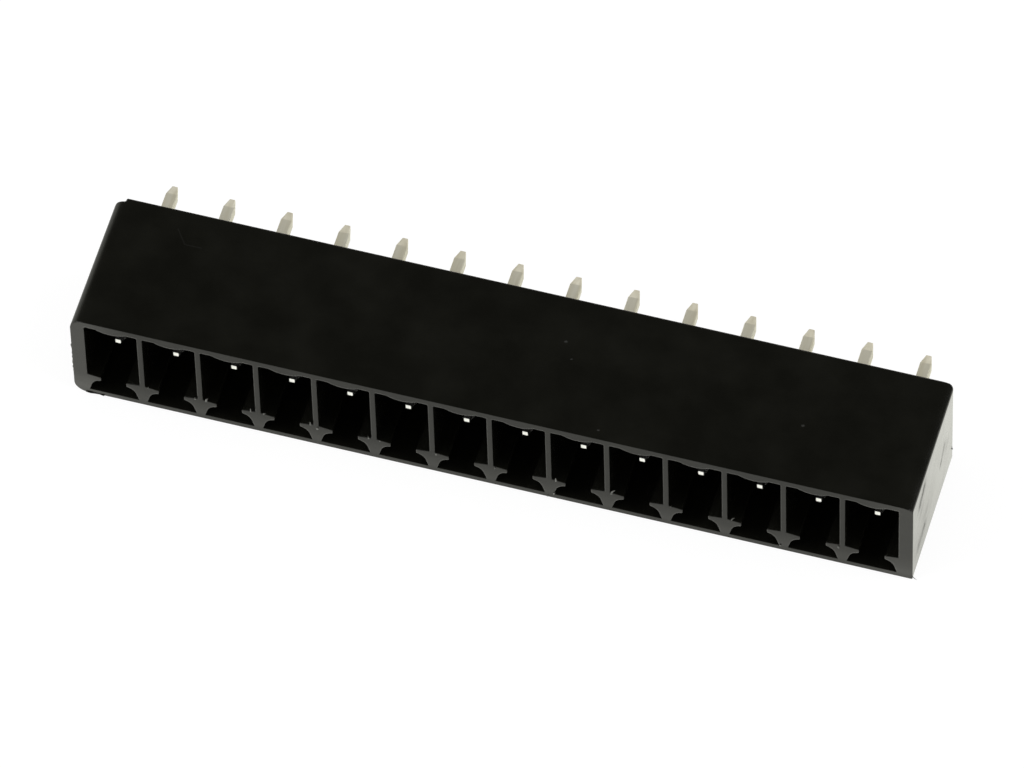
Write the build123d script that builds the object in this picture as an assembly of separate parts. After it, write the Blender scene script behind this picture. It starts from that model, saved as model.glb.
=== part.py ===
from build123d import *
import os

"""Straight 14-pole board header of a pluggable terminal block, lying on one long side.

Frame: +X along the row of poles, +Y from the plug opening to the solder tails,
+Z up. The origin is the middle of the base of the overall box. Millimetres.
"""

# ---------------------------------------------------------------- row of poles
POLES = 14
PITCH = 3.81

# ------------------------------------------------------------- housing outline
BODY_HEIGHT = 7.60
BODY_DEPTH = 9.91
END_WALL = 0.90
LEFT_EDGE_RADIUS = 0.85
RIGHT_SHOULDER_REACH = 0.80
RIGHT_SHOULDER_DROP = 0.30
RIGHT_FOOT_RADIUS = 0.10
REAR_LEFT_RADIUS = 0.20
REAR_RIGHT_RADIUS = 0.35

# step in the rear edge that marks the end of the first pole
MARK_WIDTH = 0.75
MARK_DEPTH = 0.25
MARK_ROUND = 0.10

# ---------------------------------------------------------------- plug chambers
PARTITION = 0.33
TOP_WALL = 0.47
BOTTOM_WALL = 0.40
REAR_WALL = 2.20
CHAMBER_CORNER = 0.12

# rounded guide rib that hangs from the top wall of each chamber
RIB_HALF_WIDTH = 1.00
RIB_DROP = 0.26

# key slot at the foot of each chamber, heights taken from the chamber floor
SLOT_FLOOR_HALF = 1.63
SLOT_SHOULDER_HALF = 1.46
SLOT_SHOULDER_HEIGHT = 0.60
SLOT_MOUTH_HALF = 0.84
SLOT_HEIGHT = 1.15

# wings that close the key slot in from both sides
WING_TIP = 0.34
WING_RISE = 0.12
WING_ROUND = 0.08

# ---------------------------------------------- relief round the solder tails
RELIEF_DEPTH = 0.30
RELIEF_END_MARGIN = 1.30
RELIEF_HALF_HEIGHT = 1.45
RELIEF_CORNER = 0.50

# ----------------------------------------------------------------- contact pins
PIN_SIDE = 0.75
PIN_EDGE = 0.06
PIN_HEIGHT = 4.35
PIN_RECESS = 1.36
TAIL_LENGTH = 3.76
TIP_SIDE = 0.36
TIP_EDGE = 0.03
TIP_LENGTH = 0.74

# coined ears that hold each pin in the rear wall
EAR_REACH = 0.12
EAR_LENGTH = 1.00
EAR_THICKNESS = 0.35
EAR_SETBACK = 0.60

# -------------------------------------------------------------- worked out sizes
CHAMBER_WIDTH = PITCH - PARTITION
CHAMBER_DEPTH = BODY_DEPTH - REAR_WALL
CHAMBER_TOP = BODY_HEIGHT - TOP_WALL
ROW_LENGTH = (POLES - 1) * PITCH
BODY_LENGTH = ROW_LENGTH + CHAMBER_WIDTH + 2 * END_WALL
FRONT_Y = -(BODY_DEPTH + TAIL_LENGTH) / 2
REAR_Y = FRONT_Y + BODY_DEPTH
POLE_X = [index * PITCH - ROW_LENGTH / 2 for index in range(POLES)]


def across(y, z=0):
    """Plane across the depth at y, with local x along +X and local y along +Z."""
    return Plane(origin=(0, y, z), x_dir=(1, 0, 0), z_dir=(0, -1, 0))


def front_view():
    """Outline of the body seen from the plug side.

    The left end has two round edges. The right end has a low rounded shoulder above
    and an almost sharp foot.
    """
    left = -BODY_LENGTH / 2
    right = BODY_LENGTH / 2
    shoulder_x = right - RIGHT_SHOULDER_REACH
    shoulder_z = BODY_HEIGHT - RIGHT_SHOULDER_DROP
    with BuildSketch() as view:
        with BuildLine():
            EllipticalCenterArc(
                (shoulder_x, shoulder_z),
                RIGHT_SHOULDER_REACH,
                RIGHT_SHOULDER_DROP,
                start_angle=0,
                arc_size=90,
            )
            Polyline(
                (shoulder_x, BODY_HEIGHT),
                (left, BODY_HEIGHT),
                (left, 0),
                (right, 0),
                (right, shoulder_z),
            )
        make_face()
        fillet(view.vertices().group_by(Axis.X)[0], LEFT_EDGE_RADIUS)
        foot = view.vertices().filter_by(lambda v: v.X > right - 0.001 and v.Y < 0.001)
        fillet(foot, RIGHT_FOOT_RADIUS)
    return across(FRONT_Y) * view.sketch


def plan_view():
    """Outline of the body seen from above, with the step at the first pole."""
    left = -BODY_LENGTH / 2
    right = BODY_LENGTH / 2
    step_x = left + MARK_WIDTH
    step_y = REAR_Y - MARK_DEPTH
    with BuildSketch() as view:
        with BuildLine():
            Polyline(
                (left, FRONT_Y),
                (right, FRONT_Y),
                (right, REAR_Y),
                (step_x, REAR_Y),
                (step_x, step_y),
                (left, step_y),
                close=True,
            )
        make_face()
        rear = view.vertices().filter_by(lambda v: v.Y > FRONT_Y + BODY_DEPTH / 2)
        fillet(rear.sort_by(Axis.X)[:1], REAR_LEFT_RADIUS)
        rear = view.vertices().filter_by(lambda v: v.Y > FRONT_Y + BODY_DEPTH / 2)
        fillet(rear.sort_by(Axis.X)[-1:], REAR_RIGHT_RADIUS)
        fillet(view.vertices().filter_by(lambda v: abs(v.X - step_x) < 0.001), MARK_ROUND)
    return view.sketch


def body_block():
    """Solid block that has both outlines."""
    length_wise = extrude(front_view(), amount=-BODY_DEPTH)
    upright = extrude(plan_view(), amount=BODY_HEIGHT)
    return length_wise & upright


def chamber_view():
    """Outline of one chamber about its pole: key slot, wings, side walls and guide rib."""
    half = CHAMBER_WIDTH / 2
    shoulder_y = BOTTOM_WALL + SLOT_SHOULDER_HEIGHT
    slot_top = BOTTOM_WALL + SLOT_HEIGHT
    wing_top = slot_top + WING_TIP
    rib_foot = (0, CHAMBER_TOP - RIB_DROP)
    flank = (SLOT_SHOULDER_HALF - SLOT_FLOOR_HALF, SLOT_SHOULDER_HEIGHT)
    with BuildSketch() as view:
        with BuildLine():
            Polyline(
                (0, BOTTOM_WALL),
                (SLOT_FLOOR_HALF, BOTTOM_WALL),
                (SLOT_SHOULDER_HALF, shoulder_y),
            )
            TangentArc(
                (SLOT_SHOULDER_HALF, shoulder_y), (SLOT_MOUTH_HALF, slot_top), tangent=flank
            )
            Polyline(
                (SLOT_MOUTH_HALF, slot_top),
                (SLOT_MOUTH_HALF, wing_top),
                (half, wing_top + WING_RISE),
                (half, CHAMBER_TOP),
                (RIB_HALF_WIDTH, CHAMBER_TOP),
            )
            TangentArc(rib_foot, (RIB_HALF_WIDTH, CHAMBER_TOP), tangent=(1, 0))
            mirror(about=Plane.YZ)
        make_face()
        corners = view.vertices().group_by(Axis.Y)[-1]
        fillet(corners.filter_by(lambda v: abs(v.X) > RIB_HALF_WIDTH + 0.01), CHAMBER_CORNER)
        tips = view.vertices().filter_by(lambda v: abs(abs(v.X) - SLOT_MOUTH_HALF) < 0.001)
        fillet(tips, WING_ROUND)
    return view.sketch


def chamber():
    """The hollow of one chamber about x = 0, from the plug opening to the rear wall."""
    return extrude(across(FRONT_Y) * chamber_view(), amount=-CHAMBER_DEPTH)


def relief():
    """Shallow pocket in the board side, so that the solder joints stay clear of the body."""
    with BuildSketch(across(REAR_Y, z=PIN_HEIGHT)) as outline:
        RectangleRounded(
            ROW_LENGTH + 2 * RELIEF_END_MARGIN, 2 * RELIEF_HALF_HEIGHT, RELIEF_CORNER
        )
    return extrude(outline.sketch, amount=RELIEF_DEPTH)


def wire_section(side, edge):
    """Section of square wire with its edges broken."""
    with BuildSketch() as section:
        Rectangle(side, side)
        chamfer(section.vertices(), edge)
    return section.sketch


def tip(root_y, end_y):
    """Tapered end of a pin, from full section at root_y to the small flat at end_y."""
    root = across(root_y, PIN_HEIGHT) * wire_section(PIN_SIDE, PIN_EDGE)
    end = across(end_y, PIN_HEIGHT) * wire_section(TIP_SIDE, TIP_EDGE)
    return loft([root, end], ruled=True)


def ears():
    """Pair of coined ears, one on each side of a pin, widest towards the tail."""
    start_y = REAR_Y - REAR_WALL + EAR_SETBACK
    end_y = start_y + EAR_LENGTH
    inner = PIN_SIDE / 2
    outer = inner + EAR_REACH
    with BuildSketch(Plane.XY.offset(PIN_HEIGHT)) as outline:
        with BuildLine():
            Polyline(
                (-inner, start_y),
                (inner, start_y),
                (outer, end_y),
                (-outer, end_y),
                close=True,
            )
        make_face()
    return extrude(outline.sketch, amount=EAR_THICKNESS / 2, both=True)


def contact_pin():
    """One straight pin about x = 0: contact tip, shank with its ears, solder tail."""
    front_y = FRONT_Y + PIN_RECESS
    tail_y = REAR_Y + TAIL_LENGTH
    shank_start = front_y + TIP_LENGTH
    shank_end = tail_y - TIP_LENGTH
    wire = across(shank_start, PIN_HEIGHT) * wire_section(PIN_SIDE, PIN_EDGE)
    shank = extrude(wire, amount=-(shank_end - shank_start))
    return shank + tip(shank_start, front_y) + tip(shank_end, tail_y) + ears()


def along_row(shape):
    """One copy of a shape at each pole."""
    return [Pos(x, 0, 0) * shape for x in POLE_X]


def housing(pins):
    """One-piece moulding: block, relief, chambers and a fitted passage for each pin."""
    return body_block() - relief() - along_row(chamber()) - pins


def write_part(shape, node):
    """Write one node as a STEP file under its own name."""
    shape.label = node
    export_step(shape, f"parts/{node}.step")


def main():
    os.makedirs("parts", exist_ok=True)
    pins = along_row(contact_pin())
    write_part(housing(pins), "housing")
    for number, pin in enumerate(pins, start=1):
        write_part(pin, f"contact_pin_{number:02d}")


main()
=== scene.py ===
"""Looks of a straight 14-pole board header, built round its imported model.

The header lies on one long side. +X runs along the row of poles, +Y from the
plug opening to the solder tails, +Z up. All lengths here are in metres.
"""

import logging
import math
import random
from dataclasses import dataclass, field
from enum import Enum

import bmesh
import bpy
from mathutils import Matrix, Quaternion, Vector

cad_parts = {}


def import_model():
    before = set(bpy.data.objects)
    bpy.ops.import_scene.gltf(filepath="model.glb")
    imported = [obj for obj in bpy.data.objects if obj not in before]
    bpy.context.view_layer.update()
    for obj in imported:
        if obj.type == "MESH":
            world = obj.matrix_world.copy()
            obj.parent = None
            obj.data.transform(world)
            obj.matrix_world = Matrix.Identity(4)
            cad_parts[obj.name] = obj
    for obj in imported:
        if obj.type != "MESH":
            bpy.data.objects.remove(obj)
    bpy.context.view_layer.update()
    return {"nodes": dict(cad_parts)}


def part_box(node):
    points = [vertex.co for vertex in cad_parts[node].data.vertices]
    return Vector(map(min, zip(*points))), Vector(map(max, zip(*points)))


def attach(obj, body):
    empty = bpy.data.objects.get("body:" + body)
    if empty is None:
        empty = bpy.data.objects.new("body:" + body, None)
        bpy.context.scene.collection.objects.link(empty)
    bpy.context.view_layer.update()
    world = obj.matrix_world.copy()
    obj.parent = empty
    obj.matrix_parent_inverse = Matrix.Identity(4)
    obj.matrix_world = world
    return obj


MM = 0.001
LOG = logging.getLogger("header")
Colour = tuple[float, float, float, float]
Socket = bpy.types.NodeSocket


class Slot(Enum):
    """Material slots of the record, by name."""

    PLASTIC = "housing_plastic"
    TIN = "tinned_pin"


def grey(value: float, warmth: float = 0.0) -> Colour:
    """Linear grey, a little yellow.

    Args:
        value: Brightness from 0 to 1.
        warmth: Share by which blue is lowered.

    Returns:
        Red, green, blue and alpha.
    """
    return (value, value, value * (1 - warmth), 1.0)


@dataclass
class Graph:
    """Node tree of one material or world, with short calls to fill it."""

    tree: bpy.types.NodeTree

    def add(self, kind: str, **values: object) -> bpy.types.Node:
        """Add one node and set its named inputs or properties.

        Args:
            kind: Shader node type without its ShaderNode prefix.
            values: Input names, with _ for a space, or property names.

        Returns:
            The new node.
        """
        node = self.tree.nodes.new("ShaderNode" + kind)
        for name, value in values.items():
            label = name.replace("_", " ")
            if label in node.inputs:
                node.inputs[label].default_value = value
            else:
                setattr(node, name, value)
        return node

    def link(self, source: Socket, target: Socket) -> None:
        """Join an output to an input."""
        self.tree.links.new(source, target)

    def axes(self) -> tuple[Socket, Socket, Socket]:
        """Place on the object itself.

        Returns:
            X, Y and Z in the object's own frame.
        """
        split = self.add("SeparateXYZ")
        self.link(self.add("TexCoord").outputs["Object"], split.inputs[0])
        return tuple(split.outputs)

    def noise(self, scale: float, detail: float = 2.0, stretch: Vector | None = None) -> Socket:
        """Noise over the object's own coordinates.

        Args:
            scale: Features per metre.
            detail: Number of finer layers.
            stretch: Factors that squeeze the pattern along each axis.

        Returns:
            The grey output, about 0.5 on average.
        """
        place = self.add("TexCoord").outputs["Object"]
        if stretch is not None:
            mapping = self.add("Mapping")
            mapping.inputs["Scale"].default_value = stretch
            self.link(place, mapping.inputs["Vector"])
            place = mapping.outputs["Vector"]
        texture = self.add("TexNoise", Scale=scale, Detail=detail)
        self.link(place, texture.inputs["Vector"])
        return texture.outputs["Fac"]

    def spread(
        self, source: Socket, low: float, high: float, start: float = 0.3, end: float = 0.7
    ) -> Socket:
        """Map a value from one range to another.

        Args:
            source: Value to map.
            low: Result at start.
            high: Result at end.
            start: Value that gives low.
            end: Value that gives high.

        Returns:
            The mapped value, held between low and high.
        """
        node = self.add("MapRange", From_Min=start, From_Max=end, To_Min=low, To_Max=high)
        self.link(source, node.inputs["Value"])
        return node.outputs["Result"]

    def maths(self, operation: str, *values: Socket | float) -> Socket:
        """Work out one value from others.

        Args:
            operation: Name of the sum to do, as the Math node gives it.
            values: Sockets or plain numbers, in order.

        Returns:
            The result.
        """
        node = self.add("Math", operation=operation)
        for socket, value in zip(node.inputs, values):
            if isinstance(value, Socket):
                self.link(value, socket)
            else:
                socket.default_value = value
        return node.outputs["Value"]

    def stroke(self, start: Vector, end: Vector, width: float) -> Socket:
        """Mask of one straight line on the object.

        Args:
            start: First end of the line.
            end: Last end of the line.
            width: Half of its width.

        Returns:
            1 on the line and 0 beside it.
        """
        along = end - start
        place = self.add("TexCoord").outputs["Object"]
        offset = self.add("VectorMath", operation="SUBTRACT")
        self.link(place, offset.inputs[0])
        offset.inputs[1].default_value = start
        share = self.add("VectorMath", operation="DOT_PRODUCT")
        self.link(offset.outputs[0], share.inputs[0])
        share.inputs[1].default_value = along / along.length_squared
        held = self.spread(share.outputs["Value"], 0.0, 1.0, 0.0, 1.0)
        foot = self.add("VectorMath", operation="SCALE")
        foot.inputs[0].default_value = along
        self.link(held, foot.inputs["Scale"])
        gap = self.add("VectorMath", operation="DISTANCE")
        self.link(offset.outputs[0], gap.inputs[0])
        self.link(foot.outputs[0], gap.inputs[1])
        return self.spread(gap.outputs["Value"], 1.0, 0.0, 0.0, width)

    def blend(self, share: Socket, first: Socket, second: Colour) -> Socket:
        """Mix a colour into another.

        Args:
            share: Share of the second colour.
            first: Colour output to start from.
            second: Colour to mix in.

        Returns:
            The mixed colour.
        """
        node = self.add("Mix", data_type="RGBA")
        self.link(share, node.inputs["Factor"])
        self.link(first, node.inputs[6])
        node.inputs[7].default_value = second
        return node.outputs[2]

    def ramp(self, source: Socket, stops: list[tuple[float, Colour]]) -> Socket:
        """Colour ramp over a value.

        Args:
            source: Value from 0 to 1.
            stops: Position and colour of each stop, in order.

        Returns:
            The colour output.
        """
        node = self.add("ValToRGB")
        elements = node.color_ramp.elements
        while len(elements) < len(stops):
            elements.new(0.5)
        for element, (position, colour) in zip(elements, stops):
            element.position = position
            element.color = colour
        self.link(source, node.inputs["Fac"])
        return node.outputs["Color"]


def new_material(name: str) -> tuple[bpy.types.Material, Graph, bpy.types.Node]:
    """Material with one Principled shader.

    Args:
        name: Material name.

    Returns:
        The material, its graph and its shader node.
    """
    material = bpy.data.materials.new(name)
    material.use_nodes = True
    graph = Graph(material.node_tree)
    shader = next(n for n in graph.tree.nodes if n.type == "BSDF_PRINCIPLED")
    return material, graph, shader


@dataclass(frozen=True)
class Scuff:
    """Dull smear on the right end, from one point to another.

    Both points are given by their depth behind the plug opening and their height.
    """

    start: tuple[float, float]
    end: tuple[float, float]
    width: float
    strength: float


@dataclass(frozen=True)
class Speck:
    """Grain of dust on top, given by its distance from the left end and its depth."""

    along: float
    depth: float
    radius: float
    streak: Vector = field(default_factory=lambda: Vector((0.06, 0.02, 0.0)) * MM)

    def mask(self, graph: Graph, corner: Vector) -> Socket:
        """Mask of the grain.

        Args:
            graph: Node tree of the material.
            corner: Left front corner of the top.

        Returns:
            1 on the grain and 0 beside it.
        """
        place = corner + Vector((self.along, self.depth, 0.0))
        return graph.stroke(place, place + self.streak, self.radius)


@dataclass(frozen=True)
class Scratch:
    """Fine bent scratch on top; each point has its distance from the left end and its depth."""

    points: tuple[tuple[float, float], ...]
    width: float
    strength: float

    def mask(self, graph: Graph, corner: Vector) -> Socket:
        """Mask of the scratch.

        Args:
            graph: Node tree of the material.
            corner: Left front corner of the top.

        Returns:
            The scratch's strength on its line and 0 beside it.
        """
        course = [corner + Vector((along, depth, 0.0)) for along, depth in self.points]
        mask: Socket | float = 0.0
        for start, end in zip(course, course[1:]):
            line = graph.maths("MULTIPLY", graph.stroke(start, end, self.width), self.strength)
            mask = graph.maths("MAXIMUM", mask, line)
        return mask


@dataclass(frozen=True)
class MouldedPlastic:
    """Black moulding: satin, faintly rippled, scuffed at its right end, with dust on top.

    The chambers and the thin walls of the plug side are duller than the rest. A fade is a
    pair of distances between which one value gives way to the next.
    """

    name: str = "black_moulding"
    dark: Colour = grey(0.0060, 0.26)
    pale: Colour = grey(0.0090, 0.26)
    dusty: Colour = grey(0.050, 0.05)
    rubbed: Colour = grey(0.022, 0.10)
    ior: float = 1.40
    gloss: float = 0.5
    rubbed_gloss: float = 0.08
    gloss_lost: float = 0.8
    skin: float = 0.5
    skin_lost: float = 0.7
    skin_rough: float = 0.06
    rough_low: float = 0.17
    rough_high: float = 0.24
    scuffed: float = 0.62
    cloud_scale: float = 350.0
    ragged_scale: float = 1400.0
    ripple: float = 1.0 * MM
    ripple_height: float = 0.009 * MM
    grain: float = 0.07 * MM
    grain_height: float = 0.01 * MM
    grain_strength: float = 0.25
    edge_radius: float = 0.10 * MM
    thin_wall_sheen: float = 0.57
    left_wall_sheen: float = 1.0
    right_wall_sheen: float = 0.82
    end_wall_fade: tuple[float, float] = (1.0 * MM, 4.0 * MM)
    plug_face_fade: float = 0.1 * MM
    chamber_sheen: float = 0.55
    outer_wall_fade: tuple[float, float] = (0.25 * MM, 0.38 * MM)
    mouth_fade: tuple[float, float] = (0.05 * MM, 0.2 * MM)
    rear_wall_fade: tuple[float, float] = (2.0 * MM, 1.6 * MM)
    dust_scale: float = 420.0
    dust_edge: tuple[float, float] = (0.008, 0.020)
    dust_rarity: tuple[float, float] = (0.80, 0.95)
    dust_strength: float = 0.4
    specks: tuple[Speck, ...] = (
        Speck(46.5 * MM, 4.35 * MM, 0.11 * MM),
        Speck(30.5 * MM, 6.6 * MM, 0.11 * MM),
        Speck(34.3 * MM, 0.65 * MM, 0.08 * MM),
        Speck(31.2 * MM, 5.4 * MM, 0.06 * MM),
    )
    scratch: Scratch = Scratch(
        ((4.55 * MM, 8.5 * MM), (5.3 * MM, 7.45 * MM), (6.4 * MM, 7.45 * MM)), 0.06 * MM, 0.16
    )
    scuffs: tuple[Scuff, ...] = (
        Scuff((2.7 * MM, 6.5 * MM), (1.7 * MM, 5.8 * MM), 0.80 * MM, 0.85),
        Scuff((2.8 * MM, 1.95 * MM), (1.6 * MM, 1.65 * MM), 0.80 * MM, 0.75),
        Scuff((7.5 * MM, 4.1 * MM), (7.2 * MM, 3.8 * MM), 0.60 * MM, 0.75),
        Scuff((6.9 * MM, 3.5 * MM), (6.7 * MM, 3.3 * MM), 0.55 * MM, 0.6),
        Scuff((2.3 * MM, 4.9 * MM), (1.9 * MM, 4.6 * MM), 0.60 * MM, 0.45),
        Scuff((3.4 * MM, 3.1 * MM), (2.9 * MM, 3.0 * MM), 0.70 * MM, 0.3),
        Scuff((8.3 * MM, 3.4 * MM), (8.0 * MM, 3.1 * MM), 0.60 * MM, 0.4),
    )

    def material(self, low: Vector, high: Vector) -> bpy.types.Material:
        """Build the material.

        Args:
            low: Lowest corner of the shell.
            high: Highest corner of the shell.

        Returns:
            The material.
        """
        material, graph, shader = new_material(self.name)
        shader.inputs["IOR"].default_value = self.ior
        shader.inputs["Coat Roughness"].default_value = self.skin_rough
        shader.inputs["Coat IOR"].default_value = self.ior
        clouds = graph.noise(scale=self.cloud_scale, detail=4.0)
        base = graph.ramp(clouds, [(0.35, self.dark), (0.7, self.pale)])
        worn = self.worn(graph, low, high)
        rubbed = graph.blend(worn, base, self.rubbed)
        tint = graph.blend(self.marks(graph, low, high), rubbed, self.dusty)
        graph.link(tint, shader.inputs["Base Color"])
        satin = graph.spread(clouds, self.rough_low, self.rough_high)
        dull = graph.maths("MULTIPLY", worn, self.scuffed)
        graph.link(graph.maths("MAXIMUM", satin, dull), shader.inputs["Roughness"])
        sheen = self.sheen(graph, low, high)
        skin = graph.spread(worn, self.skin, 0.0, 0.0, self.skin_lost)
        graph.link(graph.maths("MULTIPLY", skin, sheen), shader.inputs["Coat Weight"])
        gloss = graph.spread(worn, self.gloss, self.rubbed_gloss, 0.0, self.gloss_lost)
        graph.link(graph.maths("MULTIPLY", gloss, sheen), shader.inputs["Specular IOR Level"])
        relief = self.relief(graph)
        graph.link(relief, shader.inputs["Normal"])
        graph.link(relief, shader.inputs["Coat Normal"])
        return material

    def sheen(self, graph: Graph, low: Vector, high: Vector) -> Socket:
        """Share of the gloss that each place keeps: less on thin walls and in the chambers.

        Args:
            graph: Node tree of the material.
            low: Lowest corner of the shell.
            high: Highest corner of the shell.

        Returns:
            The share, from 0 to 1.
        """
        along, depth, _ = graph.axes()
        near, far = self.end_wall_fade
        middle = self.thin_wall_sheen
        left = graph.spread(along, self.left_wall_sheen, middle, low.x + near, low.x + far)
        gain = self.right_wall_sheen - middle
        right = graph.spread(along, 0.0, gain, high.x - far, high.x - near)
        behind = graph.spread(depth, 0.0, 1.0, low.y, low.y + self.plug_face_fade)
        face = graph.maths("MAXIMUM", behind, graph.maths("ADD", left, right))
        inside = graph.spread(self.inside(graph, low, high), 1.0, self.chamber_sheen, 0.0, 1.0)
        return graph.maths("MULTIPLY", face, inside)

    def inside(self, graph: Graph, low: Vector, high: Vector) -> Socket:
        """Mask of the inner walls of the chambers.

        Args:
            graph: Node tree of the material.
            low: Lowest corner of the shell.
            high: Highest corner of the shell.

        Returns:
            1 in the chambers and 0 on the outside, the plug face and the rear wall.
        """
        along, depth, height = graph.axes()
        middle, half = (low + high) / 2, (high - low) / 2
        across = graph.maths("ABSOLUTE", graph.maths("SUBTRACT", along, middle.x))
        upright = graph.maths("ABSOLUTE", graph.maths("SUBTRACT", height, middle.z))
        side_gap = graph.maths("SUBTRACT", half.x, across)
        top_gap = graph.maths("SUBTRACT", half.z, upright)
        wall = graph.maths("MINIMUM", side_gap, top_gap)
        deep = graph.spread(wall, 0.0, 1.0, *self.outer_wall_fade)
        near, far = self.mouth_fade
        mouth = graph.spread(depth, 0.0, 1.0, low.y + near, low.y + far)
        start, end = self.rear_wall_fade
        rear = graph.spread(depth, 1.0, 0.0, high.y - start, high.y - end)
        return graph.maths("MULTIPLY", deep, graph.maths("MULTIPLY", mouth, rear))

    def worn(self, graph: Graph, low: Vector, high: Vector) -> Socket:
        """Mask of the dull smears on the right end.

        Args:
            graph: Node tree of the material.
            low: Lowest corner of the shell.
            high: Highest corner of the shell.

        Returns:
            The strongest smear at each place, from 0 to 1.
        """
        ragged = graph.spread(graph.noise(scale=self.ragged_scale, detail=3.0), 0.55, 1.0)
        mask: Socket | float = 0.0
        for scuff in self.scuffs:
            points = [
                Vector((high.x, low.y + depth, low.z + height))
                for depth, height in (scuff.start, scuff.end)
            ]
            smear = graph.maths("MULTIPLY", graph.stroke(*points, scuff.width), scuff.strength)
            mask = graph.maths("MAXIMUM", mask, smear)
        return graph.maths("MULTIPLY", mask, ragged)

    def marks(self, graph: Graph, low: Vector, high: Vector) -> Socket:
        """Mask of the scratch, of the specks on top and of fine dust all over.

        Args:
            graph: Node tree of the material.
            low: Lowest corner of the shell.
            high: Highest corner of the shell.

        Returns:
            The strongest mark at each place, from 0 to 1.
        """
        corner = Vector((low.x, low.y, high.z))
        mask = self.scratch.mask(graph, corner)
        for speck in self.specks:
            mask = graph.maths("MAXIMUM", mask, speck.mask(graph, corner))
        cells = graph.add("TexVoronoi", Scale=self.dust_scale)
        graph.link(graph.add("TexCoord").outputs["Object"], cells.inputs["Vector"])
        grain = graph.spread(cells.outputs["Distance"], 1.0, 0.0, *self.dust_edge)
        chosen = graph.add("SeparateColor")
        graph.link(cells.outputs["Color"], chosen.inputs["Color"])
        rare = graph.spread(chosen.outputs["Red"], 0.0, self.dust_strength, *self.dust_rarity)
        return graph.maths("MAXIMUM", mask, graph.maths("MULTIPLY", grain, rare))

    def relief(self, graph: Graph) -> Socket:
        """Softened edges, a shallow ripple and a fine grain.

        Args:
            graph: Node tree of the material.

        Returns:
            The surface normal.
        """
        edge = graph.add("Bevel", samples=6, Radius=self.edge_radius)
        ripple = graph.add("Bump", Strength=1.0, Distance=self.ripple_height)
        graph.link(graph.noise(scale=1.0 / self.ripple, detail=2.0), ripple.inputs["Height"])
        graph.link(edge.outputs["Normal"], ripple.inputs["Normal"])
        fine = graph.add("Bump", Strength=self.grain_strength, Distance=self.grain_height)
        graph.link(graph.noise(scale=1.0 / self.grain, detail=3.0), fine.inputs["Height"])
        graph.link(ripple.outputs["Normal"], fine.inputs["Normal"])
        return fine.outputs["Normal"]


@dataclass(frozen=True)
class TinPlating:
    """Dull tin over brass wire, drawn along its length; brighter and smoother at the contact end, where
    its near-white colour is a painted highlight.
    """

    name: str = "tin_plating"
    dark: Colour = (0.68, 0.645, 0.50, 1.0)
    pale: Colour = (0.82, 0.795, 0.66, 1.0)
    # near-white colour of the contact ends: a painted highlight on their smoother finish
    polished_highlight: Colour = (0.98, 0.98, 0.97, 1.0)
    metal: float = 0.4
    rough_low: float = 0.44
    rough_high: float = 0.58
    contact_rough: float = 0.16
    contact_reach: float = 1.2 * MM
    drawn_scale: float = 2500.0
    drawn_stretch: float = 0.12
    drawn_height: float = 0.01 * MM
    drawn_strength: float = 0.35
    edge_radius: float = 0.05 * MM

    def material(self, contact_y: float) -> bpy.types.Material:
        """Build the material.

        Args:
            contact_y: Place of the contact ends along Y.

        Returns:
            The material.
        """
        material, graph, shader = new_material(self.name)
        stretch = Vector((1.0, self.drawn_stretch, 1.0))
        drawn = graph.noise(scale=self.drawn_scale, detail=3.0, stretch=stretch)
        _, depth, _ = graph.axes()
        contact = graph.spread(depth, 1.0, 0.0, contact_y, contact_y + self.contact_reach)
        graph.link(graph.spread(contact, self.metal, 1.0, 0.0, 1.0), shader.inputs["Metallic"])
        tin = graph.ramp(drawn, [(0.3, self.dark), (0.7, self.pale)])
        # contact ends take a near-white colour, a painted highlight, beside their real smoother, fully
        # metal finish
        graph.link(graph.blend(contact, tin, self.polished_highlight), shader.inputs["Base Color"])
        rough = graph.add("Mix", data_type="FLOAT")
        graph.link(contact, rough.inputs["Factor"])
        graph.link(graph.spread(drawn, self.rough_high, self.rough_low), rough.inputs[2])
        rough.inputs[3].default_value = self.contact_rough
        graph.link(rough.outputs[0], shader.inputs["Roughness"])
        edge = graph.add("Bevel", samples=6, Radius=self.edge_radius)
        bump = graph.add("Bump", Strength=self.drawn_strength, Distance=self.drawn_height)
        graph.link(drawn, bump.inputs["Height"])
        graph.link(edge.outputs["Normal"], bump.inputs["Normal"])
        graph.link(bump.outputs["Normal"], shader.inputs["Normal"])
        return material


@dataclass(frozen=True)
class TornPlastic:
    """Plastic whitened where it tore or was rubbed off."""

    name: str = "torn_plastic"
    dark: Colour = grey(0.05, 0.08)
    pale: Colour = grey(0.34, 0.08)
    rough: float = 0.55
    speckle_scale: float = 5000.0

    def material(self) -> bpy.types.Material:
        """Build the material.

        Returns:
            The material.
        """
        material, graph, shader = new_material(self.name)
        speckle = graph.noise(scale=self.speckle_scale, detail=2.0)
        tint = graph.ramp(speckle, [(0.35, self.dark), (0.6, self.pale)])
        graph.link(tint, shader.inputs["Base Color"])
        shader.inputs["Roughness"].default_value = self.rough
        return material


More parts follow.
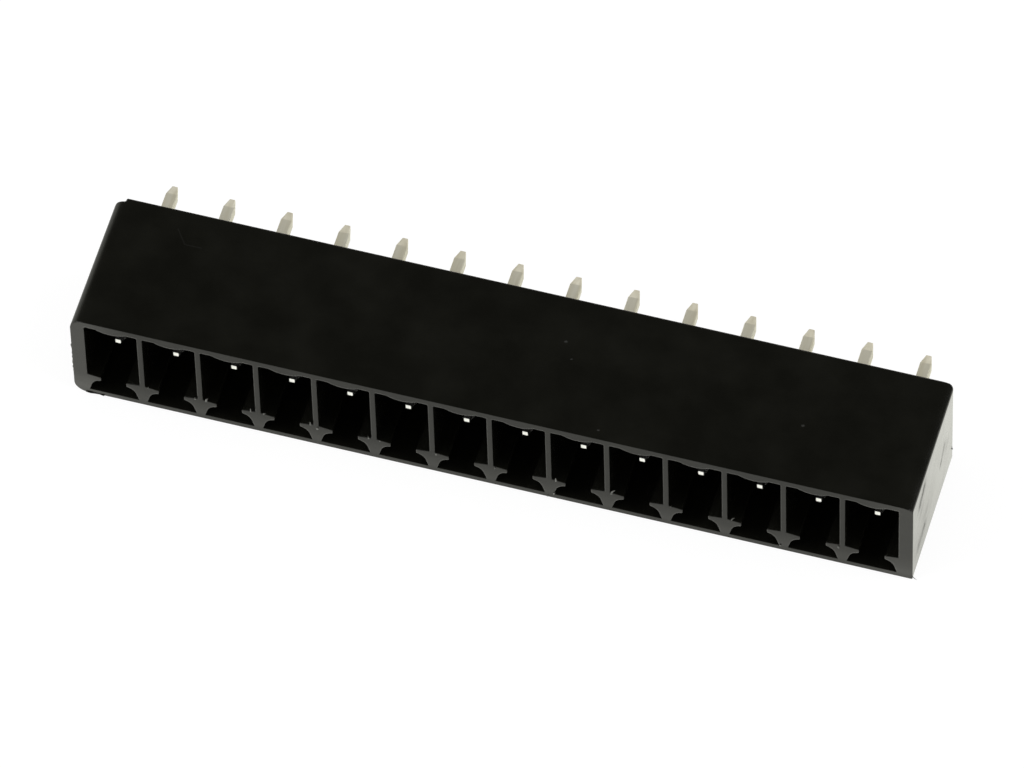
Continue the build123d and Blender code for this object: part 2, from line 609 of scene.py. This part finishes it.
@dataclass(frozen=True)
class StudioFloor:
    """White table top that stays white round the object and keeps its shadow.

    Glossy surfaces see a painted glow on it, a little warm: dark on the left and dimmer beside
    and ahead of the object as painted shade, and brightest at the object's front foot as a
    painted highlight.
    """

    name: str = "white_table"
    albedo: float = 0.8
    seen_albedo: float = 0.18
    camera_glow: float = 0.90
    mirror_tint: Colour = (1.0, 1.0, 0.92, 1.0)
    near_glow: float = 0.95
    rear_glow: float = 1.15
    front_glow: float = 0.90
    foot_highlight: float = 0.55
    left_glow: float = 0.35
    rear_start: float = 3.0 * MM
    left_reach: float = 0.6 * MM
    foot_reach: float = 1.3 * MM
    front_fade: float = 0.4 * MM

    def material(self, low: Vector, high: Vector) -> bpy.types.Material:
        """Build the material.

        Args:
            low: Lowest corner of the object.
            high: Highest corner of the object.

        Returns:
            The material.
        """
        material = bpy.data.materials.new(self.name)
        material.use_nodes = True
        graph = Graph(material.node_tree)
        graph.tree.nodes.clear()
        path = graph.add("LightPath")
        matte = graph.add("BsdfDiffuse", Color=grey(self.albedo))
        seen = graph.add("Emission", Color=grey(1.0), Strength=self.camera_glow)
        faint = graph.add("BsdfDiffuse", Color=grey(self.seen_albedo))
        both = graph.add("AddShader")
        graph.link(seen.outputs[0], both.inputs[0])
        graph.link(faint.outputs[0], both.inputs[1])
        # painted glow of the table, seen only by glossy rays, which paints the object's reflections
        glow = graph.add("Emission", Color=self.mirror_tint)
        graph.link(self.mirrored(graph, low, high), glow.inputs["Strength"])
        first = graph.add("MixShader")
        graph.link(path.outputs["Is Camera Ray"], first.inputs[0])
        graph.link(matte.outputs[0], first.inputs[1])
        graph.link(both.outputs[0], first.inputs[2])
        indirect = (path.outputs["Is Glossy Ray"], path.outputs["Is Transmission Ray"])
        second = graph.add("MixShader")
        graph.link(graph.maths("MAXIMUM", *indirect), second.inputs[0])
        graph.link(first.outputs[0], second.inputs[1])
        graph.link(glow.outputs[0], second.inputs[2])
        output = graph.add("OutputMaterial")
        graph.link(second.outputs[0], output.inputs["Surface"])
        return material

    def mirrored(self, graph: Graph, low: Vector, high: Vector) -> Socket:
        """Brightness of the table as glossy surfaces see it: a painted glow, with painted shade near the
        object and on its left and a painted highlight at its front foot.

        Args:
            graph: Node tree of the material.
            low: Lowest corner of the object.
            high: Highest corner of the object.

        Returns:
            The strength of the glow.
        """
        along, depth, _ = graph.axes()
        rear_start = low.y + self.rear_start
        # dimmer near the object's front than at its rear: a painted contact shadow in reflections
        rear = graph.spread(depth, self.near_glow, self.rear_glow, rear_start, high.y)
        # dark to the left of the object: painted shade in reflections
        left = graph.spread(along, self.left_glow, 1.0, low.x - self.left_reach, low.x)
        # brightest at the front foot: a painted highlight in reflections
        near_foot = graph.spread(depth, 0.0, self.foot_highlight, low.y - self.foot_reach, low.y)
        front = graph.maths("ADD", near_foot, self.front_glow)
        ahead = graph.spread(depth, 1.0, 0.0, low.y - self.front_fade, low.y)
        behind = graph.maths("SUBTRACT", 1.0, ahead)
        beside = graph.maths("MULTIPLY", graph.maths("MULTIPLY", rear, left), behind)
        return graph.maths("ADD", beside, graph.maths("MULTIPLY", front, ahead))


@dataclass
class Housing:
    """The black one-piece shell."""

    node: str = "housing"
    finish: MouldedPlastic = field(default_factory=MouldedPlastic)

    def dress(self, nodes: dict[str, bpy.types.Object]) -> bpy.types.Material:
        """Give the shell its finish.

        Args:
            nodes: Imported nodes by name.

        Returns:
            The shell's material.
        """
        shell = nodes[self.node]
        material = self.finish.material(*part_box(self.node))
        shell.data.materials.clear()
        shell.data.materials.append(material)
        return material


@dataclass
class PinRow:
    """The row of straight contact pins."""

    prefix: str = "contact_pin_"
    finish: TinPlating = field(default_factory=TinPlating)

    def names(self, nodes: dict[str, bpy.types.Object]) -> list[str]:
        """Names of the pins, from the first pole to the last."""
        return sorted(name for name in nodes if name.startswith(self.prefix))

    def places(self, nodes: dict[str, bpy.types.Object]) -> list[float]:
        """Place of each pole along X."""
        return [sum(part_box(name), Vector()).x / 2 for name in self.names(nodes)]

    def dress(self, nodes: dict[str, bpy.types.Object]) -> list[bpy.types.Object]:
        """Give every pin its finish.

        Args:
            nodes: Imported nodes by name.

        Returns:
            The pins' objects.
        """
        pins = [nodes[name] for name in self.names(nodes)]
        tin = self.finish.material(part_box(pins[0].name)[0].y)
        for pin in pins:
            pin.data.materials.clear()
            pin.data.materials.append(tin)
        return pins


@dataclass(frozen=True)
class Fin:
    """Thin ragged fin of flash along one straight edge."""

    start: Vector
    end: Vector
    outward: Vector
    across: Vector
    reach: float
    thick: float
    step: float
    sunk: float = 0.02 * MM
    least: float = 0.05

    def add_to(self, shape: bmesh.types.BMesh, dice: random.Random) -> None:
        """Add the fin to a mesh as a closed wedge of uneven reach.

        Args:
            shape: Mesh that takes the fin.
            dice: Source of its unevenness.
        """
        count = max(3, round((self.end - self.start).length / self.step))
        rings = []
        for index in range(count + 1):
            height = dice.uniform(self.least, 1.0)
            point = self.start.lerp(self.end, index / count)
            inner = point - self.outward * self.sunk
            tip = point + self.outward * self.reach * height
            half = self.across * self.thick / 2
            rings.append([shape.verts.new(place) for place in (inner - half, tip, inner + half)])
        close_rings(shape, rings)


@dataclass(frozen=True)
class Whisker:
    """Fine tapered burr that bends a little on its way out."""

    root: Vector
    tip: Vector
    bend: Vector
    radius: float
    sides: int = 6
    rings: int = 6
    taper: float = 0.85

    def add_to(self, shape: bmesh.types.BMesh) -> None:
        """Add the burr to a mesh as a closed, bent cone.

        Args:
            shape: Mesh that takes the burr.
        """
        line = (self.tip - self.root).normalized()
        side = line.orthogonal().normalized()
        other = line.cross(side)
        rings = []
        for index in range(self.rings + 1):
            share = index / self.rings
            centre = self.root.lerp(self.tip, share) + self.bend * (4 * share * (1 - share))
            width = self.radius * (1 - self.taper * share)
            ring = []
            for corner in range(self.sides):
                angle = 2 * math.pi * corner / self.sides
                out = side * math.cos(angle) + other * math.sin(angle)
                ring.append(shape.verts.new(centre + out * width))
            rings.append(ring)
        close_rings(shape, rings)


def close_rings(shape: bmesh.types.BMesh, rings: list[list[bmesh.types.BMVert]]) -> None:
    """Skin a row of rings and close both of its ends.

    Args:
        shape: Mesh that holds the rings.
        rings: Rings of vertices, in order and all of one length.
    """
    for ring, following in zip(rings, rings[1:]):
        for index in range(len(ring)):
            after = (index + 1) % len(ring)
            shape.faces.new((ring[index], ring[after], following[after], following[index]))
    shape.faces.new(reversed(rings[0]))
    shape.faces.new(rings[-1])


@dataclass(frozen=True)
class Burr:
    """Torn spike or speck beside the foot of one partition.

    offset is from the partition's middle along X and height from the base. lean, forward
    and rise lead from its root to its tip, along X, out of the face and up, and sunk is
    how far the root lies behind the face. All are in millimetres.
    """

    partition: int
    offset: float
    height: float
    lean: float
    rise: float
    radius: float
    sunk: float = 0.02
    forward: float = 0.08

    def shape(self, middle: float, front: Vector) -> Whisker:
        """Shape of the burr.

        Args:
            middle: Place of the partition along X.
            front: Point on the front edge of the base.

        Returns:
            The burr's bent cone.
        """
        base = Vector((middle, front.y, front.z))
        root = base + Vector((self.offset, self.sunk, self.height)) * MM
        reach = Vector((self.lean, -self.forward, self.rise)) * MM
        bend = Vector((-0.2 * self.lean, -0.03, 0.1 * self.rise)) * MM
        return Whisker(root, root + reach, bend, self.radius * MM)


@dataclass
class MouldingFlash:
    """Thin flash on three edges of the shell, torn burrs on its partitions and one loose hair."""

    seed: int = 7
    burrs: tuple[Burr, ...] = (
        Burr(1, 0.38, 1.95, 0.06, 0.14, 0.07),
        Burr(2, -0.32, 1.95, -0.02, 0.14, 0.09),
        Burr(2, 0.40, 1.95, 0.15, 0.42, 0.08),
        Burr(3, -0.48, 1.90, 0.02, 0.45, 0.06),
        Burr(3, 0.36, 1.95, 0.20, 0.22, 0.06),
        Burr(4, -0.36, 1.95, 0.0, 0.40, 0.07),
        Burr(4, 0.10, 1.70, 0.0, 0.12, 0.11),
        Burr(5, -0.36, 1.90, -0.02, 0.30, 0.06),
        Burr(5, 0.38, 1.90, 0.05, 0.14, 0.06),
        Burr(6, 0.25, 1.85, 0.05, 0.14, 0.09),
        Burr(7, 0.29, 1.80, 0.0, 0.12, 0.06),
        Burr(8, 0.45, 1.90, 0.02, 0.42, 0.07),
        Burr(8, 0.30, 0.45, 0.03, 0.15, 0.08),
        Burr(8, -0.10, 0.07, 0.02, 0.04, 0.07),
        Burr(9, 0.25, 1.85, 0.28, 0.58, 0.07),
        Burr(10, 0.32, 1.95, 0.03, 0.12, 0.05),
        Burr(11, 0.45, 1.95, 0.22, 0.45, 0.035),
        Burr(12, -0.20, 0.42, 0.0, 0.12, 0.09),
        Burr(13, -0.24, 1.70, 0.0, 0.12, 0.09),
    )

    def build(self, poles: list[float], shell: bpy.types.Material) -> list[bpy.types.Object]:
        """Make the flash and the burrs.

        Args:
            poles: Place of each pole along X.
            shell: Finish of the shell.

        Returns:
            Both pieces.
        """
        low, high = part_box("housing")
        dice = random.Random(self.seed)
        flash = bmesh.new()
        for fin in self.fins(low, high):
            fin.add_to(flash, dice)
        torn = bmesh.new()
        for burr in self.burrs:
            middle = (poles[burr.partition - 1] + poles[burr.partition]) / 2
            burr.shape(middle, low).add_to(torn)
        self.hair(low, high).add_to(torn)
        return [
            plastic_piece("moulding_flash", flash, shell),
            plastic_piece("torn_burrs", torn, TornPlastic().material()),
        ]

    def fins(self, low: Vector, high: Vector) -> list[Fin]:
        """Fins along the left front edge, the left foot and the right rear edge.

        Args:
            low: Lowest corner of the shell.
            high: Highest corner of the shell.

        Returns:
            The three fins.
        """
        ahead = Vector((0.0, -1.0, 0.0))
        left = Vector((-1.0, 0.0, 0.0))
        up = Vector((0.0, 0.0, 1.0))
        return [
            Fin(
                start=Vector((low.x, low.y + 0.04 * MM, low.z + 2.0 * MM)),
                end=Vector((low.x, low.y + 0.04 * MM, low.z + 5.2 * MM)),
                outward=left,
                across=ahead,
                reach=0.09 * MM,
                thick=0.08 * MM,
                step=0.22 * MM,
            ),
            Fin(
                start=Vector((low.x + 0.75 * MM, low.y, low.z + 0.05 * MM)),
                end=Vector((low.x + 1.95 * MM, low.y, low.z + 0.05 * MM)),
                outward=ahead,
                across=up,
                reach=0.10 * MM,
                thick=0.07 * MM,
                step=0.28 * MM,
            ),
            Fin(
                start=Vector((high.x, high.y - 0.4 * MM, low.z + 0.95 * MM)),
                end=Vector((high.x, high.y - 0.4 * MM, low.z + 1.35 * MM)),
                outward=-left,
                across=ahead,
                reach=0.08 * MM,
                thick=0.08 * MM,
                step=0.1 * MM,
            ),
        ]

    def hair(self, low: Vector, high: Vector) -> Whisker:
        """Loose hair at the right front foot.

        Args:
            low: Lowest corner of the shell.
            high: Highest corner of the shell.

        Returns:
            The hair's bent cone.
        """
        root = Vector((high.x - 0.04 * MM, low.y, low.z + 0.34 * MM))
        tip = Vector((high.x + 0.30 * MM, low.y - 0.03 * MM, low.z + 0.06 * MM))
        return Whisker(root, tip, Vector((0.03, -0.02, -0.02)) * MM, 0.035 * MM, rings=10)


def plastic_piece(name: str, shape: bmesh.types.BMesh, material: bpy.types.Material) -> bpy.types.Object:
    """Turn a finished mesh into a piece that rides on the shell's body.

    Args:
        name: Name of the piece.
        shape: Its mesh, which is used up.
        material: Its finish.

    Returns:
        The piece.
    """
    bmesh.ops.recalc_face_normals(shape, faces=shape.faces)
    mesh = bpy.data.meshes.new(name)
    shape.to_mesh(mesh)
    shape.free()
    mesh.materials.append(material)
    piece = bpy.data.objects.new(name, mesh)
    bpy.context.scene.collection.objects.link(piece)
    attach(piece, "root")
    return piece


@dataclass(frozen=True)
class Lamp:
    """One square soft lamp, aimed at the object."""

    name: str
    azimuth: float
    elevation: float
    size: float
    power: float
    colour: tuple[float, float, float] = (1.0, 1.0, 1.0)
    distance: float = 0.7

    def build(self, aim: Vector) -> bpy.types.Object:
        """Make the lamp.

        Args:
            aim: Point it faces.

        Returns:
            The lamp's object.
        """
        data = bpy.data.lights.new(self.name, "AREA")
        data.shape = "SQUARE"
        data.size = self.size
        data.energy = self.power
        data.color = self.colour
        lamp = bpy.data.objects.new(self.name, data)
        away = direction(self.azimuth, self.elevation)
        lamp.location = aim + away * self.distance
        lamp.rotation_mode = "QUATERNION"
        lamp.rotation_quaternion = (-away).to_track_quat("-Z", "Y")
        bpy.context.scene.collection.objects.link(lamp)
        return lamp


def direction(azimuth: float, elevation: float) -> Vector:
    """Unit vector from the object towards a viewer or lamp.

    Args:
        azimuth: Degrees from the plug side towards +X.
        elevation: Degrees above the table.

    Returns:
        The unit vector.
    """
    a, e = math.radians(azimuth), math.radians(elevation)
    return Vector((math.sin(a) * math.cos(e), -math.cos(a) * math.cos(e), math.sin(e)))


@dataclass
class Studio:
    """White table, dark ceiling, soft lamps from both sides and from low behind."""

    reach: float = 30.0
    ambient: float = 0.35
    warmth: float = 0.12
    sky: tuple[tuple[float, float], ...] = ((0.0, 0.7), (0.12, 0.30), (0.45, 0.05), (1.0, 0.0))
    lamps: tuple[Lamp, ...] = (
        Lamp("lamp_left", azimuth=-70.0, elevation=38.0, size=0.5, power=1.8),
        Lamp("lamp_right", azimuth=95.0, elevation=42.0, size=0.5, power=1.8),
        Lamp("lamp_back", 180.0, 20.0, size=0.35, power=0.6, colour=(1.0, 0.94, 0.90)),
    )

    def build(self, low: Vector, high: Vector) -> None:
        """Make the floor, the world and the lamps.

        Args:
            low: Lowest corner of the object.
            high: Highest corner of the object.
        """
        self.floor(low, high)
        self.world()
        for lamp in self.lamps:
            lamp.build((low + high) / 2)

    def floor(self, low: Vector, high: Vector) -> bpy.types.Object:
        """Make the table top at the height that the object stands on.

        Args:
            low: Lowest corner of the object.
            high: Highest corner of the object.

        Returns:
            The table top.
        """
        mesh = bpy.data.meshes.new("table_top")
        shape = bmesh.new()
        bmesh.ops.create_grid(shape, x_segments=1, y_segments=1, size=self.reach)
        shape.to_mesh(mesh)
        shape.free()
        table = bpy.data.objects.new("table_top", mesh)
        mesh.materials.append(StudioFloor().material(low, high))
        bpy.context.scene.collection.objects.link(table)
        return table

    def world(self) -> None:
        """White behind the object, pale near the horizon and dark overhead in reflections."""
        world = bpy.data.worlds.new("studio")
        bpy.context.scene.world = world
        world.use_nodes = True
        graph = Graph(world.node_tree)
        graph.tree.nodes.clear()
        path = graph.add("LightPath")
        split = graph.add("SeparateXYZ")
        graph.link(graph.add("TexCoord").outputs["Generated"], split.inputs[0])
        height = graph.spread(split.outputs["Z"], 0.0, 1.0, 0.0, 1.0)
        sky = graph.ramp(height, [(place, grey(value, self.warmth)) for place, value in self.sky])
        reflected = graph.add("Background", Strength=1.0)
        graph.link(sky, reflected.inputs["Color"])
        soft = graph.add("Background", Color=grey(1.0), Strength=self.ambient)
        seen = graph.add("Background", Color=grey(1.0), Strength=1.0)
        first = graph.add("MixShader")
        graph.link(path.outputs["Is Glossy Ray"], first.inputs[0])
        graph.link(soft.outputs[0], first.inputs[1])
        graph.link(reflected.outputs[0], first.inputs[2])
        second = graph.add("MixShader")
        graph.link(path.outputs["Is Camera Ray"], second.inputs[0])
        graph.link(first.outputs[0], second.inputs[1])
        graph.link(seen.outputs[0], second.inputs[2])
        output = graph.add("OutputWorld")
        graph.link(second.outputs[0], output.inputs["Surface"])


@dataclass(frozen=True)
class Viewpoint:
    """Long-lens camera above the right end of the plug side."""

    azimuth: float = 17.778
    elevation: float = 55.066
    roll: float = -1.999
    distance: float = 0.79155
    lens: float = 448.25
    sensor: float = 36.0
    aim_x: float = 1.5995 * MM
    aim_height: float = 11.5226 * MM
    near_clip: float = 0.1
    far_clip: float = 20.0

    def build(self, front_y: float) -> bpy.types.Object:
        """Make the camera and set it as the scene's.

        Args:
            front_y: Place of the plug opening along Y.

        Returns:
            The camera's object.
        """
        data = bpy.data.cameras.new("viewpoint")
        data.lens = self.lens
        data.sensor_width = self.sensor
        data.clip_start = self.distance * self.near_clip
        data.clip_end = self.distance * self.far_clip
        camera = bpy.data.objects.new("viewpoint", data)
        back = direction(self.azimuth, self.elevation)
        camera.location = Vector((self.aim_x, front_y, self.aim_height)) + back * self.distance
        camera.rotation_mode = "QUATERNION"
        level = back.to_track_quat("Z", "Y")
        camera.rotation_quaternion = level @ Quaternion((0.0, 0.0, 1.0), math.radians(self.roll))
        bpy.context.scene.collection.objects.link(camera)
        bpy.context.scene.camera = camera
        return camera


def main() -> None:
    """Set up the camera and the studio and dress the header."""
    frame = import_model()
    nodes = frame["nodes"]
    low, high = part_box("housing")
    Viewpoint().build(low.y)
    Studio().build(low, high)
    LOG.info("studio and camera are ready")
    plastic = Housing().dress(nodes)
    LOG.info("dressed the housing")
    row = PinRow()
    pins = row.dress(nodes)
    LOG.info("dressed %d pins", len(pins))
    for piece in MouldingFlash().build(row.places(nodes), plastic):
        LOG.info("built %s", piece.name)
    bpy.context.scene.view_settings.view_transform = "Standard"


if __name__ == "__main__":
    logging.basicConfig(level=logging.INFO)
    main()
